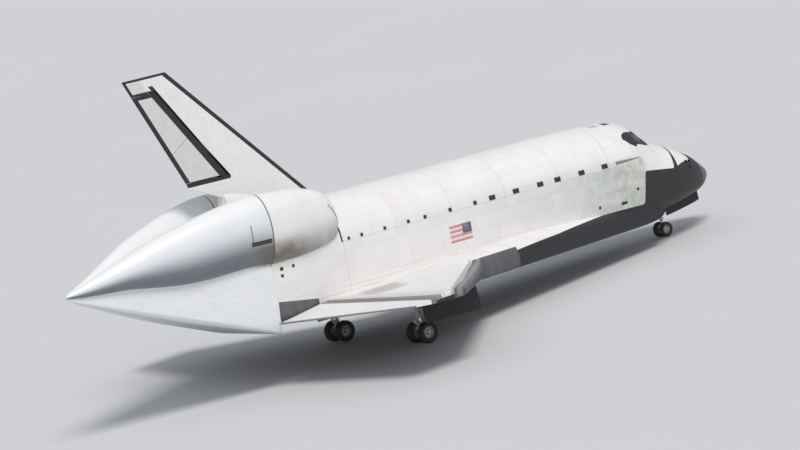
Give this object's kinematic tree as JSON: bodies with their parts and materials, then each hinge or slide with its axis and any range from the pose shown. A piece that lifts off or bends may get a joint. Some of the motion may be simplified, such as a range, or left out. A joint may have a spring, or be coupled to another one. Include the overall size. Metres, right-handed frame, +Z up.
{
  "type": "space shuttle orbiter with tail cone, half-size scale model",
  "caption": "Winged space shuttle orbiter on its landing gear, with opening payload bay, moving elevons, rudder and speed brake, side hatch and a two-humped ferry tail cone.",
  "frame": {"origin": "on the ground under the middle of the bounding box", "axes": "+X forward to the nose, +Y to port, +Z up; the airframe sits 3.5 degrees nose down on its gear"},
  "size_m": [21.3222, 11.904, 8.6244],
  "materials": {
    "white_blanket": "matte",
    "white_tile": "satin",
    "black_tile": "satin",
    "carbon_edge": "satin",
    "cone_paint": "satin",
    "rudder_tile": "satin",
    "window_glass": "gloss",
    "radiator_film": "gloss",
    "cabin_grey": "matte",
    "engine_metal": "satin",
    "gear_metal": "satin",
    "tyre": "matte"
  },
  "bodies": {
    "airframe": {"nose_cap": "carbon_edge", "forward_jet_module": "white_tile", "forward_fuselage_lower": "black_tile", "forward_fuselage_upper": "white_blanket", "windshield_forward_left": "window_glass", "windshield_forward_right": "window_glass", "windshield_middle_left": "window_glass", "windshield_middle_right": "window_glass", "windshield_side_left": "window_glass", "windshield_side_right": "window_glass", "overhead_window_left": "window_glass", "overhead_window_right": "window_glass", "flight_deck_floor": "cabin_grey", "instrument_panel": "cabin_grey", "crew_seat_left": "cabin_grey", "crew_seat_right": "cabin_grey", "mid_fuselage": "white_blanket", "aft_fuselage": "white_blanket", "manoeuvring_pod_left": "white_blanket", "manoeuvring_pod_right": "white_blanket", "tail_cone": "cone_paint", "main_engine_block": "engine_metal", "wing_left": "white_blanket", "wing_right": "white_blanket", "wing_leading_edge_left": "carbon_edge", "wing_leading_edge_right": "carbon_edge", "vertical_fin": "white_blanket", "drag_chute_compartment": "white_tile", "nose_gear_door_left": "black_tile", "nose_gear_door_right": "black_tile", "main_gear_door_left": "black_tile", "main_gear_door_right": "black_tile", "nose_gear_strut": "gear_metal", "main_gear_leg_left": "gear_metal", "main_gear_leg_right": "gear_metal"},
    "side_hatch": {"side_hatch": "white_tile"},
    "payload_door_left": {"payload_bay_door_left": "white_blanket", "radiator_left": "radiator_film"},
    "payload_door_right": {"payload_bay_door_right": "white_blanket", "radiator_right": "radiator_film"},
    "elevon_inboard_left": {"elevon_inboard_left": "white_tile"},
    "elevon_inboard_right": {"elevon_inboard_right": "white_tile"},
    "elevon_outboard_left": {"elevon_outboard_left": "white_tile"},
    "elevon_outboard_right": {"elevon_outboard_right": "white_tile"},
    "rudder_hinge": {"rudder_hinge_tube": "black_tile"},
    "rudder_panel_left": {"rudder_panel_left": "rudder_tile"},
    "rudder_panel_right": {"rudder_panel_right": "rudder_tile"},
    "nose_fork": {"nose_gear_fork": "gear_metal"},
    "nose_wheels": {"nose_wheel_hubs": "gear_metal", "nose_tyre_left": "tyre", "nose_tyre_right": "tyre"},
    "main_wheels_left": {"main_wheel_hubs_left": "gear_metal", "main_tyre_left_outer": "tyre", "main_tyre_left_inner": "tyre"},
    "main_wheels_right": {"main_wheel_hubs_right": "gear_metal", "main_tyre_right_outer": "tyre", "main_tyre_right_inner": "tyre"}
  },
  "joints": [
    {"name": "side_hatch_open", "type": "hinge", "parent": "airframe", "child": "side_hatch", "pos_m": [7.193, 1.3145, 1.828], "axis": [-0.9981, 0, 0.061], "range_deg": [0, 90]},
    {"name": "payload_door_left_open", "type": "hinge", "parent": "airframe", "child": "payload_door_left", "pos_m": [1.76, 1.331, 2.855], "axis": [-0.9981, 0, 0.061], "range_deg": [0, 175.5]},
    {"name": "payload_door_right_open", "type": "hinge", "parent": "airframe", "child": "payload_door_right", "pos_m": [1.76, -1.331, 2.855], "axis": [0.9981, 0, -0.061], "range_deg": [0, 175.5]},
    {"name": "elevon_inboard_left_turn", "type": "hinge", "parent": "airframe", "child": "elevon_inboard_left", "pos_m": [-3.934, 2.667, 1.707], "axis": [0.0037, 0.9981, 0.0612], "range_deg": [-20, 35]},
    {"name": "elevon_inboard_right_turn", "type": "hinge", "parent": "airframe", "child": "elevon_inboard_right", "pos_m": [-3.934, -2.667, 1.707], "axis": [-0.0037, 0.9981, -0.0612], "range_deg": [-20, 35]},
    {"name": "elevon_outboard_left_turn", "type": "hinge", "parent": "airframe", "child": "elevon_outboard_left", "pos_m": [-3.926, 4.953, 1.848], "axis": [0.0037, 0.9981, 0.0612], "range_deg": [-20, 35]},
    {"name": "elevon_outboard_right_turn", "type": "hinge", "parent": "airframe", "child": "elevon_outboard_right", "pos_m": [-3.926, -4.953, 1.848], "axis": [-0.0037, 0.9981, -0.0612], "range_deg": [-20, 35]},
    {"name": "rudder_turn", "type": "hinge", "parent": "airframe", "child": "rudder_hinge", "pos_m": [-5.946, 0, 6.889], "axis": [-0.5201, 0, 0.8541], "range_deg": [-27.1, 27.1]},
    {"name": "speed_brake_left", "type": "hinge", "parent": "rudder_hinge", "child": "rudder_panel_left", "pos_m": [-5.946, 0, 6.889], "axis": [0.5201, 0, -0.8541], "range_deg": [0, 49.3]},
    {"name": "speed_brake_right", "type": "hinge", "parent": "rudder_hinge", "child": "rudder_panel_right", "pos_m": [-5.946, 0, 6.889], "axis": [-0.5201, 0, 0.8541], "range_deg": [0, 49.3]},
    {"name": "nose_steer", "type": "hinge", "parent": "airframe", "child": "nose_fork", "pos_m": [8.8244, 0, 0.2015], "axis": [0.061, 0, 0.9981], "range_deg": [-9, 9]},
    {"name": "nose_wheels_spin", "type": "hinge", "parent": "nose_fork", "child": "nose_wheels", "pos_m": [8.82442, 0, 0.20146], "axis": [0, 1, 0], "continuous": true},
    {"name": "main_wheels_left_spin", "type": "hinge", "parent": "airframe", "child": "main_wheels_left", "pos_m": [-1.28614, 1.7272, 0.28016], "axis": [0, 1, 0], "continuous": true},
    {"name": "main_wheels_right_spin", "type": "hinge", "parent": "airframe", "child": "main_wheels_right", "pos_m": [-1.28614, -1.7272, 0.28016], "axis": [0, 1, 0], "continuous": true}
  ],
  "couplings": [
    {"joint": "speed_brake_right", "follows": "speed_brake_left", "ratio": 1}
  ]
}
